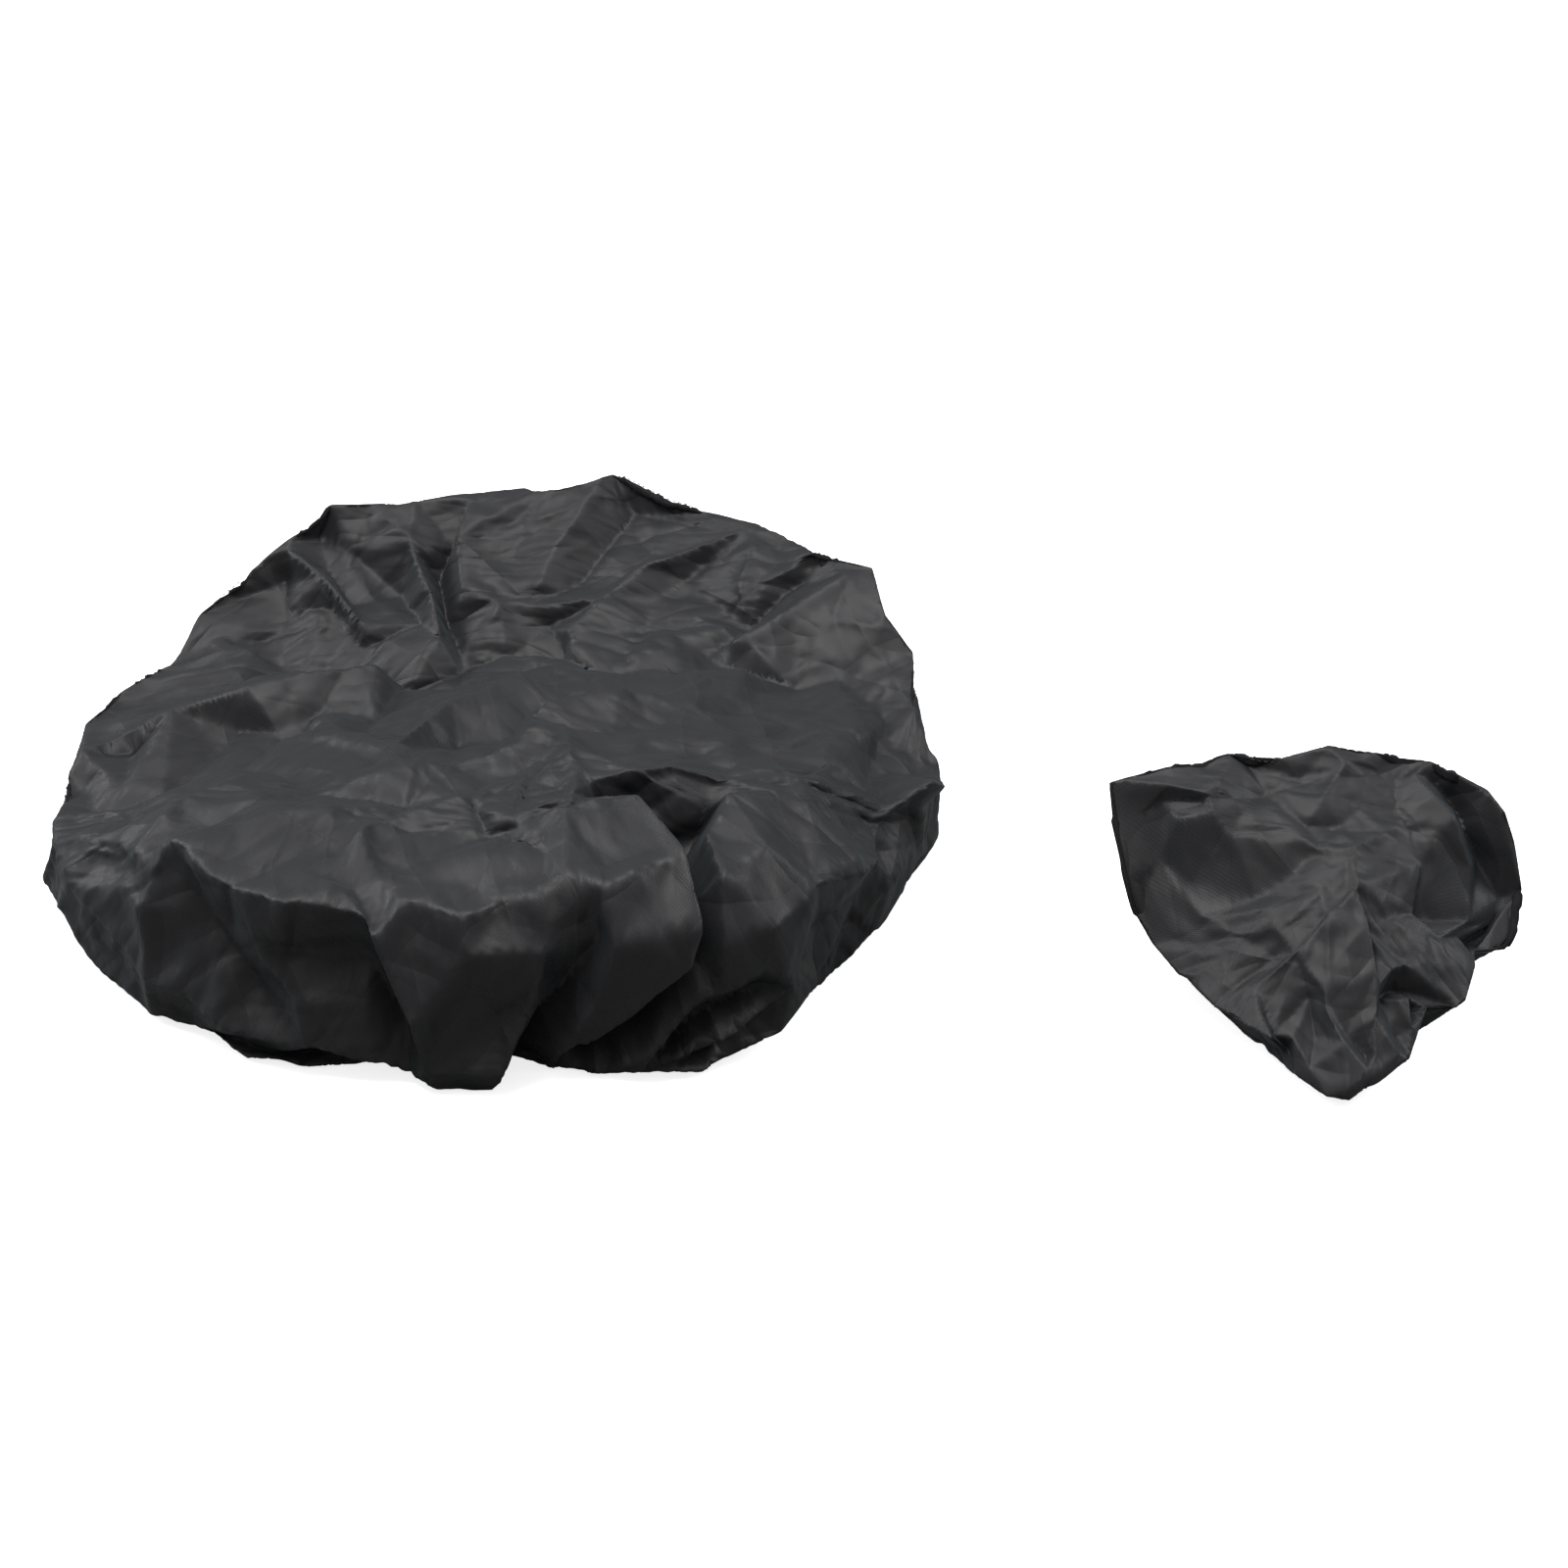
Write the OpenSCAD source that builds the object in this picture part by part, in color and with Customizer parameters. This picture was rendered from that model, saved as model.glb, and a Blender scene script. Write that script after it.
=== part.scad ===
// Wheel cover set: one large and one small slip-on fabric cover.
// Each cover is a round face panel sewn to a side band. The band curls under to a
// gathered hem, where a tape casing holds a flat elastic. Both lie open side down,
// as they stand when they are taken off the wheel. Units are millimetres.
// The origin is on the floor at the middle of the large cover.

/* [Large cover] */
// Widest radius of the large cover, at the waist of its side band
large_outer_r = 300; // [260:5:340]
// Height of the face seam of the large cover above the floor
large_height = 164; // [140:2:190]
// Height of the waist above the floor
large_waist = 60; // [50:2:70]
// Radius of the relaxed hem opening of the large cover
large_hem_r = 215; // [180:5:225]
// Depth of the dish that the face panel sags into
large_sag = 42; // [15:1:50]

/* [Small cover] */
// Widest radius of the small cover, at the waist of its side band
small_outer_r = 140; // [130:5:150]
// Height of the middle of its face seam above the floor
small_height = 98; // [94:2:104]
// Height of its waist above the floor
small_waist = 40; // [36:2:44]
// Radius of the relaxed hem opening of the small cover
small_hem_r = 80; // [70:2:88]
// Depth of the dish that its face panel sags into
small_sag = 12; // [6:1:16]
// Forward lean of its face panel, in degrees
small_lean = 19; // [0:1:20]
// Distance of the small cover to the right of the large one, centre to centre
small_x = 552; // [500:5:700]
// Distance of the small cover in front of the large one, centre to centre
small_front = 188; // [0:5:250]

/* [Cloth and trim] */
// Thickness of the coated cloth
cloth_t = 1.0; // [0.8:0.1:1.2]
// Depth of the seam allowances that hang inside the face seam
allowance = 12; // [11:1:13]
// Thickness of the binding and casing tapes
tape_t = 0.8; // [0.6:0.1:0.9]
// Width of the flat elastic
elastic_w = 8; // [6:1:9]
// Thickness of the flat elastic
elastic_t = 1.0; // [0.8:0.1:1.1]
// Radius of the sewing thread
thread_r = 0.35; // [0.3:0.05:0.4]

/* [Hidden] */

cloth_colour = [0.21, 0.215, 0.225];
tape_colour = [0.13, 0.13, 0.14];
thread_colour = [0.25, 0.25, 0.27];
elastic_colour = [0.08, 0.08, 0.085];

// The band is part of a sphere above its waist, so its top can lean about the sphere's
// centre, and part of an ellipse below it.
waist_steps = 10;       // chords along the ellipse below the waist
curl_steps = 6;         // chords along the curl that rises to the hem
sag_steps = 16;         // chords along the radius of the face panel
strip_steps = 12;       // chords of a side seam strip above the waist
ring_fn = 180;          // facets drawn around a ring
seam_gap = 0.2;         // clearance between two sewn layers
tape_gap = 0.35;        // clearance between the band and the flat tape inside it
slit = 0.5;             // gap where the two ends of the band meet
floor_share = 0.4;      // share of the ring between hem and foot that lies on the floor
foot_inset = 1 / 6;     // share of the outer radius between the waist and the foot
hem_rise = 8;           // straight edge of the band inside the hem casing
curl_z = 10;            // height at which that straight edge begins
casing_overlap = 7;     // depth of the casing below the top of the straight edge
casing_room = 1.2;      // half width of the slot in the casing
casing_headroom = 3;    // room above the elastic, inside the casing
seam_tape_w = 12;       // width of the tape over the side seam
strip_end = 9;          // angle between the top of that tape and the face seam
binding_top = 0.6;      // share of the allowances above the top of the binding
elastic_side_gap = 0.2; // clearance between the elastic and the casing
elastic_end_gap = 2;    // gap between the two ends of the elastic
elastic_lift = 1.5;     // height of the elastic above the hem edge
join_w = 12;            // width of the stitched patch that joins the elastic
join_t = 0.6;           // thickness of that patch
join_inset = 1;         // height of the elastic's edge beyond the patch
join_gap = 0.1;         // clearance between the patch and the elastic

// A cover is [outer radius, seam height, hem radius, sag, lean, waist height].
large = [large_outer_r, large_height, large_hem_r, large_sag, 0, large_waist];
small = [small_outer_r, small_height, small_hem_r, small_sag, small_lean, small_waist];

function outer_r(c) = c[0];
function seam_z(c) = c[1];
function hem_r(c) = c[2];
function sag(c) = c[3];
function lean(c) = c[4];
function waist(c) = c[5];

// Distance from the middle of the sphere to the plane of the face seam.
function seam_rise(c) = (seam_z(c) - waist(c)) / cos(lean(c));
function seam_r(c) = sqrt(pow(outer_r(c), 2) - pow(seam_rise(c), 2));
function foot_r(c) = outer_r(c) * (1 - foot_inset);
function curl_a(c) = (foot_r(c) - hem_r(c)) * (1 - floor_share);
function face_r(c) = seam_r(c) - cloth_t - seam_gap;
function hem_top(c) = curl_z + hem_rise;

// Points below the waist, from the floor up, pulled in by depth towards the inside.
function waist_points(c, depth) = [
    for (i = [0:waist_steps])
        let (angle = -90 + 90 * i / waist_steps)
        [foot_r(c) + (outer_r(c) - foot_r(c) - depth) * cos(angle),
         waist(c) + (waist(c) - depth) * sin(angle)]
];
// Points of the curl, from the hem edge down to the floor.
function curl_points(c, depth) = [
    for (i = [0:curl_steps])
        let (angle = 180 + 90 * i / curl_steps)
        [hem_r(c) + curl_a(c) + (curl_a(c) - depth) * cos(angle),
         curl_z + (curl_z - depth) * sin(angle)]
];
function reversed(points) = [for (i = [len(points) - 1:-1:0]) points[i]];

// Closed section of the band below its waist: hem edge, curl, floor strip, foot.
function foot_section(c) = concat(
    [[hem_r(c) + cloth_t, hem_top(c)], [hem_r(c), hem_top(c)]],
    curl_points(c, 0),
    waist_points(c, 0),
    reversed(waist_points(c, cloth_t)),
    reversed(curl_points(c, cloth_t))
);

// Closed section of the face panel, with its height measured from the seam.
function sag_at(c, r) = -sag(c) * (1 + cos(180 * r / face_r(c))) / 2;
function face_section(c) = concat(
    [for (i = [0:sag_steps]) let (r = face_r(c) * i / sag_steps) [r, sag_at(c, r)]],
    [[face_r(c), -allowance], [face_r(c) - cloth_t, -allowance]],
    [for (i = [sag_steps:-1:0])
        let (r = (face_r(c) - cloth_t) * i / sag_steps)
        [r, sag_at(c, r) - cloth_t]]
);

// Places children, drawn round the middle of the sphere, on its leaning axis.
module on_axis(c) {
    translate([0, 0, waist(c)]) rotate([lean(c), 0, 0]) children();
}
// Places children, drawn round the seam, on the plane that the face leans in.
module on_face(c) {
    on_axis(c) translate([0, 0, seam_rise(c)]) children();
}
module ring(section) {
    rotate_extrude($fn = ring_fn) polygon(section);
}
module thread_ring(r, z) {
    translate([0, 0, z])
        rotate_extrude($fn = ring_fn) translate([r, 0]) circle(r = thread_r, $fn = 16);
}

// Angle that an arc of the given width takes at radius r.
function arc_angle(width, r) = width / r * 180 / PI;

// A straight strip at the back of the cover, against the inside of the band.
function strip_points(c, depth) =
    let (top = asin(seam_rise(c) / outer_r(c)) + lean(c) - strip_end, r = outer_r(c) - depth)
    concat(
        waist_points(c, depth),
        [for (i = [1:strip_steps])
            let (angle = top * i / strip_steps)
            [r * cos(angle), waist(c) + r * sin(angle)]]
    );
module back_strip(c, depth, thickness, width) {
    rotate([90, 0, 90]) linear_extrude(width, center = true)
        polygon(concat(strip_points(c, depth), reversed(strip_points(c, depth + thickness))));
}

module face_panel(c) {
    color(cloth_colour) on_face(c) ring(face_section(c));
}
// A U-shaped tape that closes the two hanging allowances from below.
module face_seam_binding(c) {
    inner = face_r(c) - cloth_t - 2 * seam_gap;
    outer = seam_r(c) + 2 * seam_gap;
    floor_z = -allowance - 2 * seam_gap;
    top_z = -binding_top * allowance;
    color(tape_colour) on_face(c) ring([
        [inner - tape_t, top_z], [inner - tape_t, floor_z - tape_t],
        [outer + tape_t, floor_z - tape_t], [outer + tape_t, top_z],
        [outer, top_z], [outer, floor_z], [inner, floor_z], [inner, top_z]
    ]);
}
module face_seam_thread(c) {
    color(thread_colour) on_face(c)
        thread_ring(face_r(c) - cloth_t - thread_r - seam_gap, -binding_top * allowance / 2);
}
// The part of the band between its waist and the leaning face seam.
module upper_band(c) {
    size = 2 * outer_r(c);
    difference() {
        translate([0, 0, waist(c)]) sphere(outer_r(c), $fn = ring_fn);
        translate([0, 0, waist(c)]) sphere(outer_r(c) - cloth_t, $fn = ring_fn);
        translate([-size, -size, waist(c) - 2 * size]) cube(2 * size);
        on_face(c) translate([-size, -size, 0]) cube(2 * size);
    }
}
// The allowance of the band, which hangs down inside the face seam.
module band_allowance(c) {
    on_face(c) ring([
        [seam_r(c) - cloth_t, -allowance], [seam_r(c), -allowance],
        [seam_r(c), 0], [seam_r(c) - cloth_t, 0]
    ]);
}
// The band is one strip, and its two ends meet at the back of the cover.
module side_band(c) {
    color(cloth_colour) difference() {
        union() {
            upper_band(c);
            band_allowance(c);
            ring(foot_section(c));
        }
        translate([-slit / 2, 0, -1]) cube([slit, 2 * outer_r(c), 2 * seam_z(c)]);
    }
}
module side_seam_tape(c) {
    color(tape_colour) back_strip(c, cloth_t + tape_gap, tape_t, seam_tape_w);
}
module side_seam_thread(c) {
    color(thread_colour)
        back_strip(c, cloth_t + tape_gap + tape_t + seam_gap, 2 * thread_r, 2 * thread_r);
}
// The middle radius of the hem edge, which the casing straddles.
function hem_mid(c) = hem_r(c) + cloth_t / 2;
function casing_floor(c) = hem_top(c) - casing_overlap;
function casing_top(c) = hem_top(c) + elastic_w + casing_headroom;
module hem_casing(c) {
    inner = hem_mid(c) - casing_room;
    outer = hem_mid(c) + casing_room;
    color(tape_colour) ring([
        [inner - tape_t, casing_floor(c)], [inner, casing_floor(c)],
        [inner, casing_top(c)], [outer, casing_top(c)], [outer, casing_floor(c)],
        [outer + tape_t, casing_floor(c)], [outer + tape_t, casing_top(c) + tape_t],
        [inner - tape_t, casing_top(c) + tape_t]
    ]);
}
module hem_thread(c) {
    color(thread_colour)
        thread_ring(hem_mid(c) - casing_room - tape_t - thread_r - 0.05, hem_top(c) - 2);
}
// The elastic is a strip whose two ends meet inside the casing, at the back.
module hem_elastic(c) {
    inner = hem_mid(c) - casing_room + elastic_side_gap;
    half_gap = arc_angle(elastic_end_gap, inner) / 2;
    color(elastic_colour)
        translate([0, 0, hem_top(c) + elastic_lift]) rotate([0, 0, 90 + half_gap])
            rotate_extrude(angle = 360 - 2 * half_gap, $fn = ring_fn)
                translate([inner, 0]) square([elastic_t, elastic_w]);
}
// A stitched patch lies over the two ends of the elastic and joins them.
module elastic_join(c) {
    inner = hem_mid(c) - casing_room + elastic_side_gap + elastic_t + join_gap;
    half = arc_angle(join_w, inner) / 2;
    color(thread_colour)
        translate([0, 0, hem_top(c) + elastic_lift + join_inset]) rotate([0, 0, 90 - half])
            rotate_extrude(angle = 2 * half, $fn = ring_fn)
                translate([inner, 0]) square([join_t, elastic_w - 2 * join_inset]);
}

module small_place() {
    translate([small_x, -small_front, 0]) children();
}

face_panel(large);  // large_face_panel
face_seam_binding(large);  // large_face_seam_binding
face_seam_thread(large);  // large_face_seam_thread
side_band(large);  // large_side_band
side_seam_tape(large);  // large_side_seam_tape
side_seam_thread(large);  // large_side_seam_thread
hem_casing(large);  // large_hem_casing
hem_thread(large);  // large_hem_thread
hem_elastic(large);  // large_hem_elastic
elastic_join(large);  // large_elastic_join
small_place() face_panel(small);  // small_face_panel
small_place() face_seam_binding(small);  // small_face_seam_binding
small_place() face_seam_thread(small);  // small_face_seam_thread
small_place() side_band(small);  // small_side_band
small_place() side_seam_tape(small);  // small_side_seam_tape
small_place() side_seam_thread(small);  // small_side_seam_thread
small_place() hem_casing(small);  // small_hem_casing
small_place() hem_thread(small);  // small_hem_thread
small_place() hem_elastic(small);  // small_hem_elastic
small_place() elastic_join(small);  // small_elastic_join
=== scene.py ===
"""A set of two crumpled, elasticated wheel covers of charcoal woven cloth, on a pale floor."""

import math

import bpy
import numpy as np
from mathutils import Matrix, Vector
from mathutils.bvhtree import BVHTree
from mathutils.geometry import delaunay_2d_cdt
from mathutils.kdtree import KDTree


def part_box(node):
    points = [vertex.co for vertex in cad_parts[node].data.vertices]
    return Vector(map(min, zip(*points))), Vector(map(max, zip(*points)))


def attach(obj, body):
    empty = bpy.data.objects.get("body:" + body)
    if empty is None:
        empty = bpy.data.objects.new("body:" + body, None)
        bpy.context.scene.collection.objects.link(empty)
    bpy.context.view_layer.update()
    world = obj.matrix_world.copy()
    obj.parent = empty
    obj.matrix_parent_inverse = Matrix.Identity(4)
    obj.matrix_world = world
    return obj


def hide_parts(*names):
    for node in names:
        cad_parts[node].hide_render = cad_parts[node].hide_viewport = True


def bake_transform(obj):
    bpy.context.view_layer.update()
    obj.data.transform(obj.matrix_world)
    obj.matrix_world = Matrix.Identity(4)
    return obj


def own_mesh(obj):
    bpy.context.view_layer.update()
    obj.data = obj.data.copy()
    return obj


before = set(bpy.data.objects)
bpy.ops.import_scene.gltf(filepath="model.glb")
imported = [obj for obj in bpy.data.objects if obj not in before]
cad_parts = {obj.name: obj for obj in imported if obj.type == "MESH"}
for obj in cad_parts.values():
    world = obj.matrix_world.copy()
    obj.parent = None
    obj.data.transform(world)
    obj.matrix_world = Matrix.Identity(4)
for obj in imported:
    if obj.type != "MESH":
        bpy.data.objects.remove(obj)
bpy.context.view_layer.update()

# ---------------------------------------------------------------- the two covers
# A place on a cover is an angle, in degrees from +X, and a station along the cloth:
# 0 the middle of the face, 1 the face seam, 2 the foot on the floor, 3 the hem.
SEAM, FOOT, HEM = 1.0, 2.0, 3.0
MM = 0.001
# Raised cloth leans forward by this much of its rise, which is 1 / tan(30 degrees): seen
# from the camera, 30 degrees up, it then stays in place.
LEAN = 1.73
# How much wider than its pattern the loose cloth lies.
SLUMP = 1.008
# The plain cover's seam, foot and the lean of its wall, as shares of its radius.
SEAM_SHARE, FOOT_SHARE, WALL_SLOPE = 0.93, 0.96, 0.12
# Rows of points for each spacing, on the wall and under the cover.
WALL_DENSITY, UNDER_DENSITY = 0.95, 0.50
REFINE_LEVELS = 2
# The cloth's least height under the cover, and how far its hem stands above that.
LOWEST, HEM_LIFT = 0.004, 0.016
# How far the rim's corners stand out, as a share of the radius.
RIM_LIFT = 0.010
# The station where the swell has died away on the wall.
SWELL_END = 1.38
# Fields over the flat pattern reach out to this many times the hem's size.
OUTSIDE = 1.3
# Corners of the folded shape in a ring along the hem.
HEM_KNOTS = 36
# How deep the binding and tape, and the stitches, lie in the cloth, and the tapes' thickness.
TRIM_DEPTH, THREAD_DEPTH, TRIM_THICK = 0.0009, 0.0019, 0.0005
THREAD_PITCH = 0.0009
CLOTH_COLOUR = (0.0172, 0.0169, 0.0188)
SHEEN_TINT = (0.62, 0.86, 0.92, 1)

# Rim corners of the large cover: angle, share of its radius, share of its height.
LARGE_RIM = (
    (8, 0.95, 0.64), (19, 0.99, 0.73), (24, 0.96, 0.83), (31, 0.99, 0.94), (38, 0.92, 0.96),
    (51, 0.93, 0.95), (60, 0.92, 0.95), (75, 0.94, 1.02), (88, 0.92, 0.95), (97, 0.91, 0.93),
    (110, 0.94, 0.9), (116, 0.97, 0.91), (120, 0.96, 0.84), (127, 0.95, 0.75), (138, 0.96, 0.6),
    (146, 0.92, 0.51), (156, 0.96, 0.46), (164, 0.97, 0.43), (176, 0.95, 0.41), (188, 0.95, 0.42),
    (200, 0.86, 0.6), (214, 0.78, 0.84), (229, 0.74, 0.95), (248, 0.72, 0.96), (265, 0.72, 0.98),
    (282, 0.74, 1.0), (300, 0.74, 0.99), (318, 0.78, 0.88), (338, 0.86, 0.72), (352, 0.97, 0.6),
)
# Its wall: angle, how far it bulges and where it meets the floor, as shares of the radius,
# and how high it bulges, as a share of the rim's height.
LARGE_WALL = (
    (0, 0.99, 0.88, 0.46), (25, 1.0, 0.88, 0.46), (60, 0.97, 0.88, 0.46),
    (120, 0.97, 0.88, 0.46), (150, 0.98, 0.9, 0.46), (185, 0.98, 0.92, 0.46),
    (196, 0.99, 0.94, 0.56), (212, 0.95, 0.94, 0.74), (228, 0.91, 0.92, 0.85),
    (243, 0.9, 0.88, 0.88), (257, 0.89, 0.78, 0.88), (264, 0.89, 0.77, 0.88),
    (270, 0.9, 0.86, 0.88), (275, 0.9, 0.82, 0.88), (283, 0.9, 0.76, 0.87),
    (290, 0.91, 0.79, 0.85), (302, 0.93, 0.94, 0.8), (310, 0.95, 0.94, 0.74),
    (322, 0.93, 0.88, 0.66), (340, 0.94, 0.86, 0.62), (352, 0.97, 0.88, 0.52),
)
# Where its face stands above a plain dish: angle, station, rise in millimetres.
LARGE_SWELL = (
    (0, 0.0, 0), (60, 0.35, 0), (90, 0.3, 0), (120, 0.3, 0), (150, 0.4, 0), (180, 0.5, 0),
    (205, 0.5, 4), (235, 0.35, 3), (250, 0.35, 4), (270, 0.25, 5), (300, 0.15, 8), (330, 0.14, 18),
    (0, 0.15, 16), (25, 0.14, 6), (266, 0.52, 14), (285, 0.44, 20), (297, 0.34, 29),
    (320, 0.26, 38), (354, 0.31, 40), (15, 0.32, 20), (35, 0.32, 4), (240, 0.62, 4),
    (252, 0.66, 8), (270, 0.75, 8), (290, 0.75, 10), (300, 0.6, 22), (315, 0.5, 34),
    (335, 0.6, 34), (350, 0.6, 32), (10, 0.6, 20), (25, 0.6, 6), (320, 0.8, 16),
    (340, 0.85, 14), (0, 0.85, 8), (210, 0.75, 6), (225, 0.8, 4), (60, 0.7, 0), (100, 0.7, 0),
    (140, 0.75, 0), (185, 0.8, 0),
    (200, 1.0, -4), (214, 1.0, -14), (229, 1.0, -22), (248, 1.0, -26), (265, 1.0, -28),
    (282, 1.0, -26), (300, 1.0, -22), (318, 1.0, -10), (338, 1.0, 0), (355, 1.0, 0),
)
# Its creases: lines through places (angle, station) with their height in millimetres,
# ridges above zero and valleys below.
LARGE_CREASES = (
    # the standing back of the face
    ((100, 0.8, -6), (105, 0.67, -14), (109, 0.45, -14), (111, 0.3, -12)),
    ((96, 0.97, 8), (99, 0.8, 9), (101, 0.55, 6)),
    ((104, 0.98, 8), (108, 0.8, 9), (111, 0.52, 8), (122, 0.3, 4)),
    ((117, 0.82, -9), (114, 0.64, -16), (118, 0.45, -6)),
    ((119, 0.97, -9), (122, 0.84, -9), (125, 0.68, -10)),
    ((124, 0.97, 4), (125, 0.78, 8), (130, 0.55, 4)),
    ((127, 0.93, -14), (131, 0.84, -14), (137, 0.76, -12)),
    ((128, 0.7, -8), (134, 0.5, -8)),
    ((86, 0.97, 8), (88, 0.7, 6), (92, 0.45, 4)),
    ((76, 0.98, 9), (80, 0.72, 8), (82, 0.45, 3)),
    ((70, 0.92, -8), (72, 0.62, -6)),
    ((60, 0.3, -15), (73, 0.38, -9), (90, 0.22, -8)),
    ((60, 0.34, 3), (60, 0.52, 9), (59, 0.7, 9), (51, 0.96, 6)),
    ((53, 0.75, -6), (45, 0.5, -6)),
    ((36, 0.9, -8), (33, 0.68, -14), (27, 0.55, -9)),
    ((31, 0.93, 9), (29, 0.8, 9), (25, 0.62, 8)),
    ((23, 0.57, -9), (17, 0.72, -12), (16, 0.82, -4)),
    ((56, 0.27, -10), (30, 0.27, -8), (22, 0.45, -6)),
    # the low left side
    ((141, 0.9, -4), (144, 0.7, -14), (147, 0.42, -15), (150, 0.27, -14), (150, 0.13, -14)),
    ((146, 0.11, -12), (122, 0.2, -14), (112, 0.28, -12)),
    ((174, 0.97, 12), (171, 0.77, 16), (168, 0.6, 16), (164, 0.47, 15), (156, 0.33, 10)),
    ((158, 0.95, -3), (156, 0.7, -4)),
    ((173, 0.62, -9), (178, 0.53, -6), (184, 0.5, -15), (176, 0.44, -6)),
    ((190, 0.62, -9), (205, 0.62, -8), (226, 0.7, -9), (250, 0.68, -10)),
    ((157, 0.27, -8), (183, 0.3, -10), (200, 0.36, -8)),
    ((187, 0.92, -10), (190, 0.8, -8)),
    ((232, 0.22, 8), (236, 0.48, 9), (243, 0.62, 6)),
    # the diagonal ridge of the dish and the front of the face
    ((258, 0.52, 2), (272, 0.47, 6), (287, 0.42, 9), (297, 0.34, 10), (320, 0.26, 11),
     (354, 0.31, 10)),
    ((246, 1.12, -3), (258, 1.13, -4), (270, 1.12, -4), (280, 1.12, -3)),
    ((250, 0.3, -11), (280, 0.24, -10), (320, 0.14, -12)),
    ((284, 0.55, 6), (277, 0.88, 5)),
    ((268, 0.66, -3), (272, 0.95, -6)),
    ((316, 0.33, 6), (301, 0.53, 14), (291, 0.8, 14), (286, 1.0, 12), (283, 1.18, 9),
     (281, 1.29, 4)),
    ((297, 0.72, 9), (306, 0.74, 15), (316, 0.74, 14), (323, 0.8, 6)),
    ((297, 0.84, -18), (301, 0.9, -34), (306, 0.98, -44), (311, 0.95, -24), (314, 0.9, -6)),
    ((293, 0.82, 9), (298, 1.0, 15), (299, 1.18, 15), (300, 1.36, 15)),
    ((304, 1.08, -34), (302, 1.22, -34), (301, 1.36, -28), (301, 1.46, -18)),
    ((306, 1.09, 0), (304, 1.25, 8), (304, 1.42, 10), (304, 1.56, 4)),
    ((314, 1.0, 12), (312, 1.2, 10), (310, 1.4, 12), (309, 1.52, 6)),
    ((322, 0.98, 9), (333, 0.9, 8), (347, 0.83, 6), (356, 0.83, 6)),
    ((8, 0.93, -8), (354, 0.88, -12), (346, 0.98, -9)),
    ((357, 0.97, -12), (2, 0.95, -8)),
    ((350, 1.05, 12), (353, 1.18, 12), (350, 1.3, 0)),
    ((326, 1.12, 4), (328, 1.33, 6)),
    ((335, 1.3, -12), (341, 1.26, -14), (348, 1.36, -6)),
    # the front wall, from the left
    ((207, 1.02, -9), (204, 1.16, -8)),
    ((219, 1.2, -9), (214, 1.42, -9)),
    ((224, 1.22, -6), (231, 1.4, -15), (239, 1.56, -16)),
    ((238, 1.98, 9), (246, 1.97, 12), (253, 1.99, 3)),
    ((252, 1.02, 6), (258, 1.32, 9), (263, 1.5, 18), (265, 1.68, 16), (267, 1.85, 16),
     (270, 2.0, 15)),
    ((271, 1.45, -4), (274, 1.56, -9), (277, 1.52, -4)),
    ((287, 1.36, -9), (284, 1.47, -16), (280, 1.62, -24), (277, 1.8, -26), (275, 1.94, -14)),
    ((280, 1.36, 4), (277, 1.55, 3), (274, 1.72, 9), (272, 1.9, 12)),
    ((289, 1.36, 9), (286, 1.55, 6), (283, 1.7, 6), (282, 1.86, 3)),
    ((298, 1.5, -18), (292, 1.64, -20), (286, 1.78, -24)),
    ((299, 1.43, 14), (292, 1.55, 9), (287, 1.66, 6)),
    ((301, 1.54, 6), (295, 1.69, 14), (288, 1.84, 12)),
    ((297, 1.72, -15), (303, 1.62, -16), (309, 1.6, -12)),
    ((294, 1.8, 10), (303, 1.7, 10), (313, 1.6, 8)),
    ((301, 1.86, 8), (311, 1.76, 8), (319, 1.66, 8)),
    ((299, 1.8, -4), (309, 1.7, -4)),
    ((318, 1.36, 8), (328, 1.4, 8), (334, 1.4, 3)),
    ((322, 1.55, -9), (332, 1.55, -9)),
)
# Rounded folds, given like the creases.
LARGE_BENDS = (
    ((226, 1.19, 5), (237, 1.25, 8), (247, 1.26, 10), (257, 1.27, 8)),
    ((236, 1.01, 2), (252, 0.97, 1)),
    ((238, 1.4, -12), (247, 1.43, -20), (256, 1.44, -22), (260, 1.6, -20)),
    ((205, 1.46, 2), (222, 1.62, 6), (236, 1.69, 8), (247, 1.69, 8), (256, 1.74, 10),
     (261, 1.78, 12)),
    ((228, 1.83, -8), (240, 1.88, -14), (250, 1.87, -16), (260, 1.86, -18)),
    ((262, 1.22, 5), (270, 1.24, 7), (275, 1.2, -3), (282, 1.19, 6), (288, 1.22, 8)),
)
# The small cover lies like a fan: its back edge stands up and its front edges are low.
SMALL_RIM = (
    (15, 0.65, 0.32), (16, 0.82, 0.3), (19, 0.88, 0.38), (26, 0.95, 0.5), (30, 0.94, 0.72),
    (34, 0.93, 0.84), (41, 0.93, 0.9), (47, 0.89, 0.94), (58, 0.86, 0.98), (74, 0.78, 1.02),
    (91, 0.78, 1.04), (121, 0.91, 1.0), (137, 1.03, 0.97), (146, 1.22, 0.9), (149, 1.16, 0.76),
    (155, 1.04, 0.54), (158, 0.97, 0.41), (163, 0.86, 0.31), (174, 0.72, 0.25), (193, 0.59, 0.22),
    (230, 0.54, 0.22), (235, 0.5, 0.15), (245, 0.55, 0.08), (260, 0.65, 0.07), (268, 0.67, 0.07),
    (279, 0.61, 0.1), (298, 0.54, 0.16), (330, 0.42, 0.25), (342, 0.53, 0.24), (347, 0.56, 0.25),
    (365, 0.61, 0.31),
)
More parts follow.
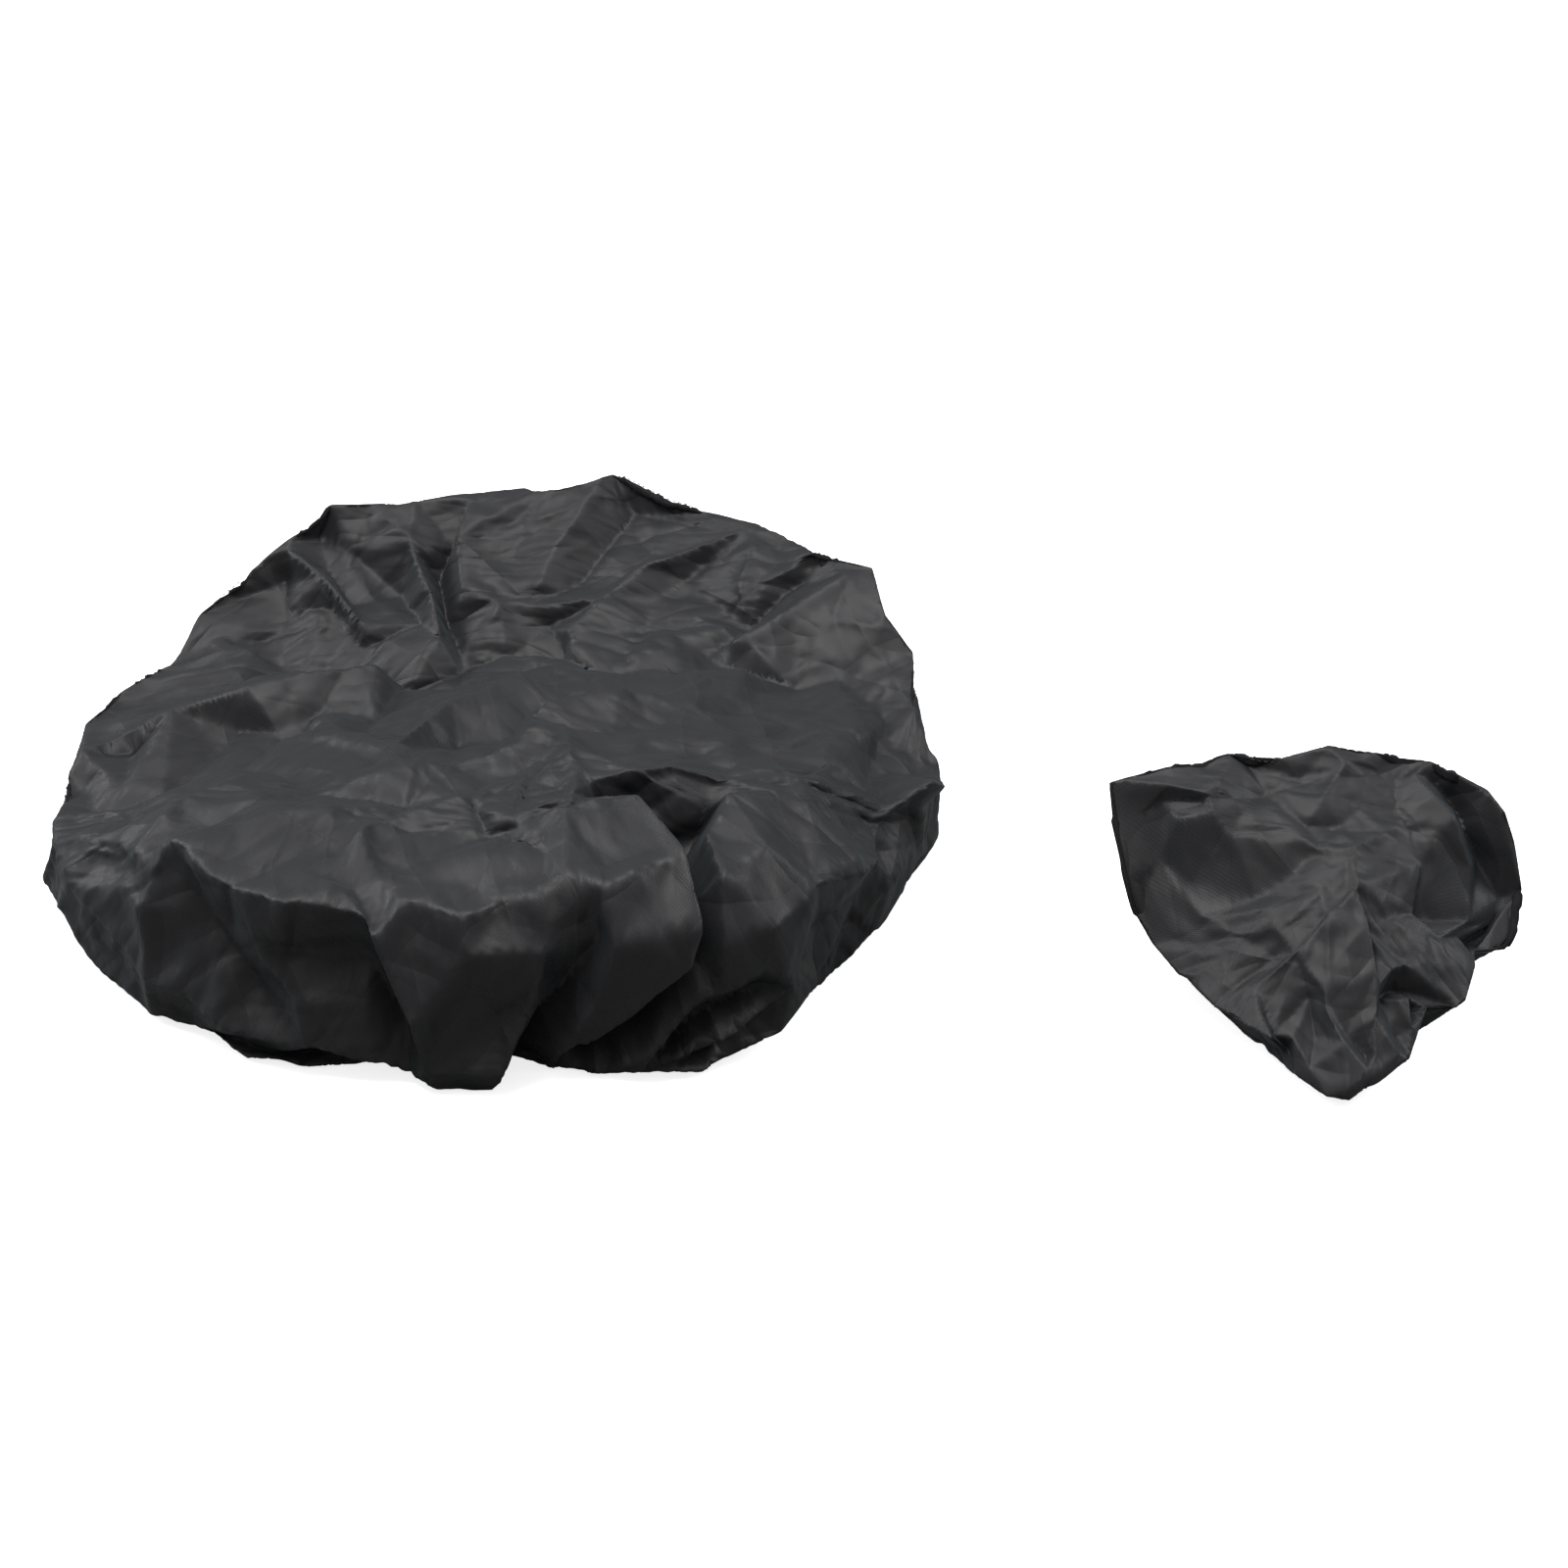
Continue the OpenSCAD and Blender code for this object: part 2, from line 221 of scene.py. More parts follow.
SMALL_WALL = (
    (0, 0.5, 0.36, 0.9), (13, 0.55, 0.38, 0.9), (20, 0.8, 0.4, 0.9), (40, 0.88, 0.52, 0.8),
    (90, 0.76, 0.56, 0.5), (130, 0.92, 0.6, 0.5), (148, 1.0, 0.56, 0.5), (165, 0.66, 0.4, 0.7),
    (208, 0.46, 0.34, 0.8), (240, 0.46, 0.4, 0.8), (264, 0.64, 0.5, 0.8), (298, 0.46, 0.38, 0.8),
    (330, 0.34, 0.3, 0.9),
)
SMALL_CREASES = (
    # the deep fold behind the right edge, and the flap outside it
    ((53, 0.93, -8), (44, 0.87, -16), (35, 0.84, -19), (28, 0.84, -15), (24, 0.9, -6)),
    ((50, 0.99, 4), (39, 0.97, 6), (29, 0.96, 4)),
    ((60, 0.88, 2), (49, 0.77, 5), (38, 0.72, 4), (28, 0.72, 2)),
    # the left corner
    ((140, 0.72, -2), (145, 0.8, -4), (148, 0.88, -3)),
    ((144, 0.97, 2), (141, 0.86, 5), (138, 0.74, 4)),
    ((147, 0.7, 3), (153, 0.84, -3), (157, 0.97, -2)),
    ((156, 0.7, -1), (162, 0.72, 3), (171, 0.78, 1)),
    # creases that run down from the back edge
    ((121, 0.95, 3), (132, 0.8, 3), (142, 0.62, 2)),
    ((117, 0.92, -3), (119, 0.72, -3), (127, 0.42, 1)),
    ((106, 0.94, 3), (103, 0.8, -3), (97, 0.6, 2)),
    ((91, 0.97, 3), (86, 0.85, 3), (80, 0.62, -2)),
    ((80, 0.93, 3), (66, 0.85, -3)),
    ((63, 0.73, -3), (53, 0.58, -3), (29, 0.47, -4), (11, 0.55, -4)),
    ((139, 0.56, -1), (147, 0.47, -2), (162, 0.44, -1)),
    ((172, 0.45, 4), (178, 0.64, 3)),
    # the middle
    ((113, 0.42, -2), (119, 0.22, -2)),
    ((194, 0.2, -1), (215, 0.33, -2)),
    ((88, 0.43, -2), (72, 0.18, 3)),
    ((320, 0.15, 4), (298, 0.35, 5), (292, 0.56, 5), (285, 0.74, 5), (281, 0.88, 3)),
    ((306, 0.3, -3), (298, 0.5, -4)),
    ((192, 0.5, 3), (201, 0.62, -3)),
    ((245, 0.27, 3), (256, 0.6, 3)),
    ((258, 0.66, 3), (267, 0.78, 5), (276, 0.92, 4)),
    ((269, 0.74, -4), (278, 0.86, -4)),
    ((240, 0.68, -3), (249, 0.8, -3)),
    # the lobes of the right edge
    ((17, 0.72, 4), (12, 0.85, 4), (10, 0.96, 2)),
    ((15, 0.94, -10), (19, 0.92, -9)),
    ((8, 0.52, 3), (2, 0.72, 4), (352, 0.84, 3)),
    ((294, 0.62, 3), (308, 0.62, 5), (330, 0.72, 4)),
    ((299, 0.69, -9), (314, 0.74, -11), (326, 0.84, -8)),
    ((308, 0.78, 2), (316, 0.83, 4), (307, 0.93, 4)),
    ((320, 0.92, -12), (328, 0.97, -14)),
    ((299, 0.84, -6), (301, 0.9, -5)),
    # the tongue
    ((239, 0.9, 4), (252, 0.93, 4), (268, 0.96, 4), (282, 0.93, 3), (294, 0.96, 2)),
    ((232, 0.96, -5), (236, 0.98, -5)),
)


def node_circle(node):
    """Middle and radius of a round CAD node, seen from above."""
    low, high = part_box(node)
    middle = (low + high) / 2
    return np.array([middle.x, middle.y]), (high.x - low.x) / 2


class Cover:
    """One cover: what the CAD says about it, and how its cloth lies. Its settings:
    spacing: between the points of its sheet, in metres.
    dish, dish_at, bowl: height and place of the face's middle, and how late the face rises.
    gap, wander: between the corners of random folds, and how far they stand out of the
    cloth, as shares of the radius.
    rounds, broad, fine: of smoothing, and the strength of the broad and the small folds.
    tunnel: height of the tunnel for the elastic."""

    swell = bends = ()
    # The angles between which the rim is round and not a crease; these two leave none out.
    soft_rim = (400, 400)

    def __init__(self, name, **settings):
        self.name = name
        vars(self).update(settings)
        self.middle, self.radius = node_circle(name + "_side_band")
        self.radius *= SLUMP
        self.dish_at = SLUMP * np.array(self.dish_at)
        self.hem_radius = node_circle(name + "_hem_casing")[1]
        self.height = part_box(name + "_side_band")[1].z
        self.wall = math.hypot(self.height, WALL_SLOPE * self.radius)
        self.under = FOOT_SHARE * self.radius - self.hem_radius
        self.seam_radius = SEAM_SHARE * self.radius
        self.face_rings = round(self.seam_radius / self.spacing)
        self.around = 6 * self.face_rings
        self.wall_rows = round(WALL_DENSITY * self.wall / self.spacing)
        self.under_rows = round(UNDER_DENSITY * self.under / self.spacing)
        self.rise = swell_field(self)

    def hard_rim(self):
        """Angles of the rim's corners where it is a crease."""
        low, high = self.soft_rim
        return [a for a, _, _ in self.rim if not low < a < high]

    def hard_rim_line(self):
        """The part of the rim that is a crease, as places."""
        turned = sorted(a + 360 if a < self.soft_rim[0] else a for a in self.hard_rim())
        return tuple((a, SEAM, 0) for a in turned)

    def wall_at(self, angle):
        """Radius of the waist and of the foot at each angle, and the waist's height share."""
        rows = np.array(self.wall_shape)
        waist, foot, share = (np.interp(np.degrees(angle), rows[:, 0], v, period=360)
                              for v in rows.T[1:])
        return waist * self.radius, foot * self.radius, share

    def rim_at(self, angle):
        """Rim point at each angle: straight between its corners."""
        rows = [(math.radians(a), r * self.radius, h * self.height) for a, r, h in self.rim]
        rows = np.array(rows + [(rows[0][0] + 2 * math.pi, *rows[0][1:])])
        angle = np.mod(angle - rows[0, 0], 2 * math.pi) + rows[0, 0]
        x = rows[:, 1] * np.cos(rows[:, 0])
        y = rows[:, 1] * np.sin(rows[:, 0])
        return np.stack([np.interp(angle, rows[:, 0], v) for v in (x, y, rows[:, 2])], 1)

    def below_seam(self, station):
        """Distance along the cloth from the seam, down the wall and under the cover."""
        on_wall, on_under = np.clip(station - SEAM, 0, 1), np.clip(station - FOOT, 0, 1)
        return on_wall * self.wall + on_under * self.under


# ---------------------------------------------------------------- the sheet of cloth
def sheet_layout(cover):
    """Angle and station of every point of the sheet, and its triangles. The face has rings
    of 6, 12, 18 ... points, and each row of the band is shifted by half a step."""
    angle, station, faces, starts, counts = [0.0], [0.0], [], [0], [1]
    for k in range(1, cover.face_rings + 1):
        starts.append(len(angle))
        counts.append(6 * k)
        angle.extend(2 * math.pi * i / (6 * k) for i in range(6 * k))
        station.extend([k / cover.face_rings] * (6 * k))
    n = cover.around
    rows = cover.wall_rows + cover.under_rows
    for j in range(1, rows + 1):
        starts.append(len(angle))
        angle.extend(2 * math.pi * (i + 0.5 * j) / n for i in range(n))
        over = j - cover.wall_rows
        q = 1 + j / cover.wall_rows if over <= 0 else 2 + over / cover.under_rows
        station.extend([q] * n)
    for k in range(cover.face_rings):
        inner, outer = starts[k], starts[k + 1]
        for sector in range(6):
            for i in range(k + 1):
                o0, o1 = (outer + (sector * (k + 1) + i + j) % counts[k + 1] for j in (0, 1))
                i0, i1 = (inner + (sector * k + i + j) % counts[k] for j in (0, 1))
                faces.append((i0, o0, o1))
                if i < k:
                    faces.append((i0, o1, i1))
    for j in range(rows):
        upper, lower = starts[cover.face_rings + j], starts[cover.face_rings + j + 1]
        for i in range(n):
            nxt = (i + 1) % n
            faces.append((upper + i, lower + i, upper + nxt))
            faces.append((upper + nxt, lower + i, lower + nxt))
    return np.array(angle), np.array(station), np.array(faces)


def ramp(value, start, width):
    """Rises smoothly from 0 at the start to 1 one width further on."""
    t = np.clip((value - start) / width, 0, 1)
    return t * t * (3 - 2 * t)


def above_hem(station):
    """1 for the cloth in view, fading to 0 at the hem."""
    return 1 - ramp(station, 2.5, 0.5)


def flat_pattern(cover, angle, station):
    """The sheet unrolled to a plane, as a map that keeps angles, and its scale there."""
    size = (np.minimum(station, 1) * cover.seam_radius
            * np.exp(cover.below_seam(station) / cover.seam_radius))
    scale = cover.seam_radius / np.maximum(size, cover.seam_radius)
    return np.stack([size * np.cos(angle), size * np.sin(angle)], 1), scale


def ring_of(station, count):
    """Angles and stations of evenly spaced places at one station."""
    return np.linspace(0, 2 * math.pi, count, endpoint=False), np.full(count, float(station))


def ring_outside(cover):
    """Places in the flat pattern, well outside the hem."""
    return OUTSIDE * flat_pattern(cover, *ring_of(HEM, 24))[0]


def swell_field(cover):
    """How far the cloth stands above its plain dish: a function of places in the pattern."""
    if not cover.swell:
        return lambda at: np.zeros(len(at))
    rows = np.array(cover.swell, float)
    low, high = (math.radians(a) for a in cover.soft_rim)
    ends = np.array([(a, s) for a in ring_of(SEAM, 24)[0] for s in (SEAM, SWELL_END)
                     if s > SEAM or not low < a < high])
    places = np.concatenate([flat_pattern(cover, np.radians(rows[:, 0]), rows[:, 1])[0],
                             flat_pattern(cover, ends[:, 0], ends[:, 1])[0], ring_outside(cover)])
    rise = np.concatenate([MM * rows[:, 2], np.zeros(len(places) - len(rows))])
    field = linear_field(places, rise)
    return lambda at: field(at)[:, 0]


def base_shape(cover, angle, station):
    """The cover without its creases. Where the cloth stands higher it also leans forward."""
    co = plain_shape(cover, angle, station)
    rise = cover.rise(flat_pattern(cover, angle, station)[0])
    co[:, 2] += rise
    co[:, 1] -= LEAN * rise
    return co


def plain_shape(cover, angle, station):
    """A dish, a bulging wall and the cloth turned under it."""
    rim = cover.rim_at(angle)
    co = np.zeros((len(angle), 3))
    on_face = station <= SEAM
    t = np.clip(station, 0, 1)
    co[:, :2] = cover.dish_at * (1 - t)[:, None] + rim[:, :2] * t[:, None]
    co[:, 2] = cover.dish + (rim[:, 2] - cover.dish) * t ** cover.bowl
    w = np.clip(station - SEAM, 0, 1)
    rim_r = np.linalg.norm(rim[:, :2], axis=1)
    way = rim[:, :2] / rim_r[:, None]
    waist_r, foot_r, share = cover.wall_at(angle)
    waist_z = share * rim[:, 2]
    # How far down the wall its waist lies: the higher the waist, the sooner it comes.
    turn = 1.05 - 0.93 * share
    over = math.pi / 2 * np.clip(w / turn, 0, 1)
    below = math.pi / 2 * np.clip((w - turn) / (1 - turn), 0, 1)
    wall_r = rim_r + (waist_r - rim_r) * np.sin(over) - (waist_r - foot_r) * (1 - np.cos(below))
    wall_z = waist_z + (rim[:, 2] - waist_z) * np.cos(over) - waist_z * np.sin(below)
    v = np.clip(station - FOOT, 0, 1)
    hem_r = np.minimum(cover.hem_radius, 0.8 * foot_r)
    under_r = foot_r + (hem_r - foot_r) * v
    under_z = LOWEST + HEM_LIFT * ramp(v, 0.55, 0.45)
    r = np.where(station <= FOOT, wall_r, under_r)
    z = np.where(station <= FOOT, np.maximum(wall_z, LOWEST), under_z)
    band = np.concatenate([way * r[:, None], z[:, None]], 1)
    co[~on_face] = band[~on_face]
    return co


def normals_at(cover, angle, station, step=0.03):
    """Outward normals of the base shape."""
    along = base_shape(cover, angle, station + step) - base_shape(cover, angle, station - step)
    around = base_shape(cover, angle + step, station) - base_shape(cover, angle - step, station)
    n = np.cross(along, around)
    n[station < 0.05] = (0, 0, 1)
    return n / np.linalg.norm(n, axis=1)[:, None]


def tree_of(points):
    """The points in a tree that finds the nearest ones."""
    tree = KDTree(len(points))
    for i, p in enumerate(points):
        tree.insert(p, i)
    tree.balance()
    return tree


def scattered(co, gap, rng):
    """Indices of random points of the sheet, each at least a gap from the others."""
    tree = tree_of(co)
    free = np.ones(len(co), bool)
    kept = []
    for i in rng.permutation(len(co)):
        if free[i]:
            kept.append(i)
            free[[hit[1] for hit in tree.find_range(co[i], gap)]] = False
    return kept


def random_places(cover, sheet, gap, rng):
    """Scattered places in the flat pattern, and the ring outside it."""
    inside = sheet["flat"][scattered(sheet["co"], gap, rng)]
    return np.concatenate([inside, ring_outside(cover)])


def net_of(places, edges=()):
    """Places joined by triangles: points, triangles, and which places each point comes from."""
    verts, _, triangles, given, _, _ = delaunay_2d_cdt([Vector(p) for p in places], list(edges),
                                                       [], 0, 1e-9)
    return np.array([tuple(v) for v in verts]), np.array([tuple(t) for t in triangles]), given


def triangle_finder(flat, corners):
    """A function that gives the triangle of a net under each place."""
    tree = BVHTree.FromPolygons([(x, y, 0.0) for x, y in flat.tolist()], corners.tolist())
    down = Vector((0, 0, -1))
    return lambda at: [tree.ray_cast(Vector((x, y, 1)), down)[2] for x, y in at]


def linear_field(places, values, edges=()):
    """Values joined by flat triangles: a function of places in the flat pattern."""
    flat, corners, given = net_of(places, edges)
    values = np.array(values, float).reshape(len(places), -1)
    known = np.array([values[g].mean(0) if g else values[0] * 0 for g in given])
    for i in [i for i, g in enumerate(given) if not g]:
        ring = np.unique(corners[(corners == i).any(1)])
        known[i] = known[[j for j in ring if given[j]]].mean(0)
    triangle_at = triangle_finder(flat, corners)

    def field(at, snap=None):
        hit = triangle_at(at)
        a, b, c = (flat[corners[hit, k]] for k in range(3))
        area = np.cross(b - a, c - a)
        wa, wb = np.cross(b - at, c - at) / area, np.cross(c - at, a - at) / area
        weights = np.stack([wa, wb, 1 - wa - wb], 1)
        if snap is not None:
            sides = [np.linalg.norm(q - r, axis=1) for q, r in ((b, c), (c, a), (a, b))]
            weights = snapped(weights, weights * area[:, None] / np.stack(sides, 1), snap)
        return np.einsum("nk,nkd->nd", weights, known[corners[hit]])
    return field


def snapped(weights, away, snap):
    """Moves the places that lie close to an edge of their triangle onto that edge."""
    k = np.argmin(away, axis=1)
    rows = np.arange(len(k))
    close = away[rows, k] < snap
    weights[rows[close], k[close]] = 0
    return weights / weights.sum(1)[:, None]


def facets(cover, sheet, gap, rng):
    """A field of flat, sharp-edged facets: random heights joined by triangles."""
    places = random_places(cover, sheet, gap, rng)
    field = linear_field(places, rng.uniform(-1, 1, len(places)))
    return lambda at, scale: field(at)[:, 0]


def pinches(cover, sheet, gap, width, rng):
    """A field of thin, pinched creases, up or down, along the edges of random triangles."""
    flat, corners, _ = net_of(random_places(cover, sheet, gap, rng))
    lifts = {}
    for t in np.sort(corners, axis=1):
        for pair in ((t[0], t[1]), (t[1], t[2]), (t[0], t[2])):
            lifts.setdefault(pair, rng.uniform(-1, 1) ** 3)
    triangle_at = triangle_finder(flat, corners)

    def field(at, scale):
        total = np.zeros(len(at))
        hit = triangle_at(at)
        for k in range(3):
            a, b = corners[hit, k], corners[hit, (k + 1) % 3]
            along = flat[b] - flat[a]
            length = np.linalg.norm(along, axis=1)
            away = np.abs(np.cross(along, at - flat[a])) / length * scale
            lift = [lifts[(min(i, j), max(i, j))] for i, j in zip(a.tolist(), b.tolist())]
            total += np.array(lift) * np.exp(-away / width)
        return total
    return field


def packed_folds(cover, sheet, gap, width, rng):
    """A field of long straight creases from the packet, up and down at random."""
    middles = sheet["flat"][scattered(sheet["co"], gap, rng)]
    turns = rng.uniform(0, math.pi, len(middles))
    halves = gap * rng.uniform(0.6, 2.0, len(middles))
    lifts = rng.choice((-1, 1), len(middles)) * rng.uniform(0.3, 1.0, len(middles))

    def field(at, scale):
        total = np.zeros(len(at))
        for middle, turn, half, lift in zip(middles, turns, halves, lifts):
            ahead = np.array((math.cos(turn), math.sin(turn)))
            step = at - middle
            along = np.clip(np.abs(step @ ahead) / half, 0, 1)
            away = np.abs(step[:, 0] * ahead[1] - step[:, 1] * ahead[0]) * scale
            total += lift * (1 - along ** 2) * np.exp(-away / width)
        return total
    return field


def folded_shape(cover, sheet, rng):
    """The cover as a crumpled sheet is: flat facets between sharp creases. The named creases
    and the rim's corners are kept, and random facets fill the space between them."""
    knots, edges = [], []
    for line in cover.creases + cover.bends:
        edges += [(len(knots) + i, len(knots) + i + 1) for i in range(len(line) - 1)]
        knots += [(math.radians(a), s, MM * height) for a, s, height in line]
    knots += [(math.radians(a), SEAM, RIM_LIFT * cover.radius) for a in cover.hard_rim()]
    angles, stations, _ = np.array(knots).T.copy()
    near = tree_of(base_shape(cover, angles, stations))
    gap, wander = cover.gap * cover.radius, cover.wander * cover.radius
    for i in scattered(sheet["co"], gap, rng):
        if near.find(sheet["co"][i])[2] > 0.55 * gap:
            knots.append((sheet["angle"][i], sheet["station"][i], wander * rng.uniform(-1, 1)))
    # One ring along the hem, and one outside it.
    knots += 2 * [(a, HEM, 0.0) for a in ring_of(HEM, HEM_KNOTS)[0]]
    angles, stations, heights = np.array(knots).T.copy()
    places, _ = flat_pattern(cover, angles, stations)
    places[-HEM_KNOTS:] *= OUTSIDE
    co = base_shape(cover, angles, stations)
    co += normals_at(cover, angles, stations) * (heights * above_hem(stations))[:, None]
    co[:, 2] = np.maximum(co[:, 2], 0.003)
    return linear_field(places, co, edges)


# ---------------------------------------------------------------- meshes
def mesh_object(name, co, faces):
    """A new mesh object from arrays or lists of points and faces."""
    mesh = bpy.data.meshes.new(name)
    mesh.from_pydata(co.tolist(), [], faces if isinstance(faces, list) else faces.tolist())
    mesh.update()
    ob = bpy.data.objects.new(name, mesh)
    bpy.context.scene.collection.objects.link(ob)
    return ob


def floor_object(name, half):
    """A square at floor level."""
    co = [(-half, -half, 0), (half, -half, 0), (half, half, 0), (-half, half, 0)]
    return mesh_object(name, np.array(co, float), [(0, 1, 2), (0, 2, 3)])


def coords(mesh):
    co = np.zeros(len(mesh.vertices) * 3)
    mesh.vertices.foreach_get("co", co)
    return co.reshape(-1, 3)


def set_coords(mesh, co):
    mesh.vertices.foreach_set("co", co.ravel())
    mesh.update()


def mesh_normals(mesh):
    n = np.zeros(len(mesh.vertices) * 3, np.float32)
    mesh.vertex_normals.foreach_get("vector", n)
    return n.reshape(-1, 3).astype(float)


def store(mesh, name, values):
    mesh.attributes.new(name, "FLOAT", "POINT").data.foreach_set("value", values)


def stored(mesh, name):
    values = np.zeros(len(mesh.vertices), np.float32)
    mesh.attributes[name].data.foreach_get("value", values)
    return values.astype(float)


def stored_flat(mesh):
    """Each point's place in the flat pattern."""
    return np.stack([stored(mesh, "flat_x"), stored(mesh, "flat_y")], 1)


def add_weights(ob, name, weights):
    group = ob.vertex_groups.new(name=name)
    for i, w in enumerate(weights):
        if w > 0:
            group.add([i], float(w), "REPLACE")


def bake_modifiers(ob):
    """Keeps the mesh that an object's modifiers make."""
    baked = bpy.data.meshes.new_from_object(ob.evaluated_get(bpy.context.evaluated_depsgraph_get()))
    ob.modifiers.clear()
    ob.data = baked


def refine(ob):
    """Subdivides the cloth and keeps the result as its mesh."""
    sub = ob.modifiers.new("refine", "SUBSURF")
    sub.levels = sub.render_levels = REFINE_LEVELS
    bake_modifiers(ob)


def distance_to(cover, lines, flat):
    """Distance in the flat pattern from each place to the nearest of some lines."""
    away = np.full(len(flat), 1.0)
    for line in lines:
        rows = np.array(line, float)
        knots, _ = flat_pattern(cover, np.radians(rows[:, 0]), rows[:, 1])
        for a, b in zip(knots[:-1], knots[1:]):
            share = np.clip((flat - a) @ (b - a) / ((b - a) @ (b - a)), 0, 1)
            away = np.minimum(away, np.linalg.norm(flat - a - share[:, None] * (b - a), axis=1))
    return away


def soften(mesh, co, share, rounds):
    """Moves points towards the middle of their neighbours, each by its own share."""
    ends = np.zeros(len(mesh.edges) * 2, int)
    mesh.edges.foreach_get("vertices", ends)
    a, b = ends[0::2], ends[1::2]
    count = np.bincount(ends, minlength=len(co))
    for _ in range(rounds):
        for k in range(3):
            total = np.bincount(a, co[b, k], len(co)) + np.bincount(b, co[a, k], len(co))
            co[:, k] += 0.6 * share * (total / count - co[:, k])
    return co


# ---------------------------------------------------------------- crumpling
def settle(ob, station, excess=0.035, bending=0.05, hold=0.40, hem_hold=0.9, frames=20):
    """Lets the cloth buckle: it is a little too large for its shape, and its hem is held."""
    scene = bpy.context.scene
    add_weights(ob, "hold", hold + (hem_hold - hold) * ramp(station, 2.6, 0.4))
    add_weights(ob, "gather", ramp(station, 1.9, 0.8))
    floor = floor_object("settle_floor", 2)
    floor.modifiers.new("stop", "COLLISION")
    floor.collision.thickness_outer = 0.002
    cloth = ob.modifiers.new("cloth", "CLOTH")
    s = cloth.settings
    s.quality = 6
    s.mass = 0.12
    s.tension_stiffness = s.compression_stiffness = 25
    s.shear_stiffness = 10
    s.bending_stiffness = bending
    s.tension_damping = s.compression_damping = s.shear_damping = 5
    s.bending_damping = 0.2
    s.air_damping = 2
    s.vertex_group_mass = "hold"
    s.pin_stiffness = 1.0
    s.shrink_min = -excess
    s.vertex_group_shrink = "gather"
    s.shrink_max = 0.0
    s.effector_weights.gravity = 0.4
    cloth.collision_settings.use_collision = True
    cloth.collision_settings.distance_min = 0.002
    cloth.collision_settings.use_self_collision = False
    cloth.point_cache.frame_start, cloth.point_cache.frame_end = 1, frames
    scene.frame_start, scene.frame_end = 1, frames
    for f in range(1, frames + 1):
        scene.frame_set(f)
    settled = ob.evaluated_get(bpy.context.evaluated_depsgraph_get())
    co = coords(settled.to_mesh())
    settled.to_mesh_clear()
    ob.modifiers.remove(cloth)
    bpy.data.objects.remove(floor)
    scene.frame_set(1)
    return co


def crumple(cover, ob, moved, shape, sheet, rng):
    """Puts the sharp creases back on the settled cloth, and adds the finer ones."""
    mesh = ob.data
    flat, station = stored_flat(mesh), stored(mesh, "station")
    _, scale = flat_pattern(cover, np.zeros(len(station)), station)
    keep = above_hem(station)
    # Points nearer to a crease than about half of the refined spacing move onto it.
    sharp = shape(flat, 0.45 * (cover.spacing / 2 ** REFINE_LEVELS) / scale)
    co = coords(mesh)
    co += (sharp + moved - co) * keep[:, None]
    away = distance_to(cover, cover.creases + (cover.hard_rim_line(),), flat) * scale
    co = soften(mesh, co, ramp(away, 0.002, 0.006), cover.rounds)
    set_coords(mesh, co)

    def layer(kind, height, *sizes):
        """One kind of fold all over the cloth, by its height, gap and width in metres."""
        return height * kind(cover, sheet, *sizes, rng)(flat, scale)

    # Some parts of the cloth are more crumpled than others.
    where = 0.5 + layer(facets, 0.5, 0.30 * cover.radius)
    push = layer(facets, 0.0021, 0.036) * (0.4 + where) * cover.broad
    push += layer(packed_folds, 0.0044, 0.060, 0.014) * cover.broad
    small = layer(packed_folds, 0.0022, 0.032, 0.005) * (0.3 + where)
    small += layer(pinches, 0.0010, 0.022, 0.003) * (0.2 + where)
    push = (push + small * cover.fine) * keep * (0.3 + 0.7 * ramp(away, 0, 0.012))
    co += mesh_normals(mesh) * push[:, None]
    co = soften(mesh, co, 0.4 * keep, 1)
    co[:, 2] = np.maximum(co[:, 2], 0.001) + gathers(cover, flat, station)
    set_coords(mesh, co)


def gathers(cover, flat, station, pleat=0.021, height=0.004):
    """How far the pleats that the elastic draws up stand above the floor."""
    angle = np.arctan2(flat[:, 1], flat[:, 0])
    pleats = round(cover.hem_radius * 2 * math.pi / pleat)
    wave = np.sin(pleats * angle + 2.0 * np.sin(5 * angle) + 1.3 * np.sin(11 * angle))
    return height * (0.5 + 0.5 * wave) * ramp(station, 2.1, 0.7)


def make_cover(cover):
    """The whole crumpled cloth of a cover, as one sheet."""
    rng = np.random.default_rng(cover.seed)
    angle, station, faces = sheet_layout(cover)
    flat, _ = flat_pattern(cover, angle, station)
    base = base_shape(cover, angle, station)
    sheet = {"flat": flat, "co": base, "angle": angle, "station": station}
    folded = folded_shape(cover, sheet, rng)
    blend = ramp(station, 2.4, 0.6)[:, None]
    rest = folded(flat) * (1 - blend) + base * blend
    rest[:, :2] += cover.middle
    before = mesh_object(cover.name + "_before", rest, faces)
    ob = mesh_object(cover.name + "_cloth", rest, faces)
    set_coords(ob.data, settle(ob, station))
    store(ob.data, "flat_x", flat[:, 0].copy())
    store(ob.data, "flat_y", flat[:, 1].copy())
    store(ob.data, "station", station)
    refine(ob)
    refine(before)
    moved = coords(ob.data) - coords(before.data)
    moved[:, :2] += cover.middle
    bpy.data.objects.remove(before)
    crumple(cover, ob, moved, folded, sheet, rng)
    return ob


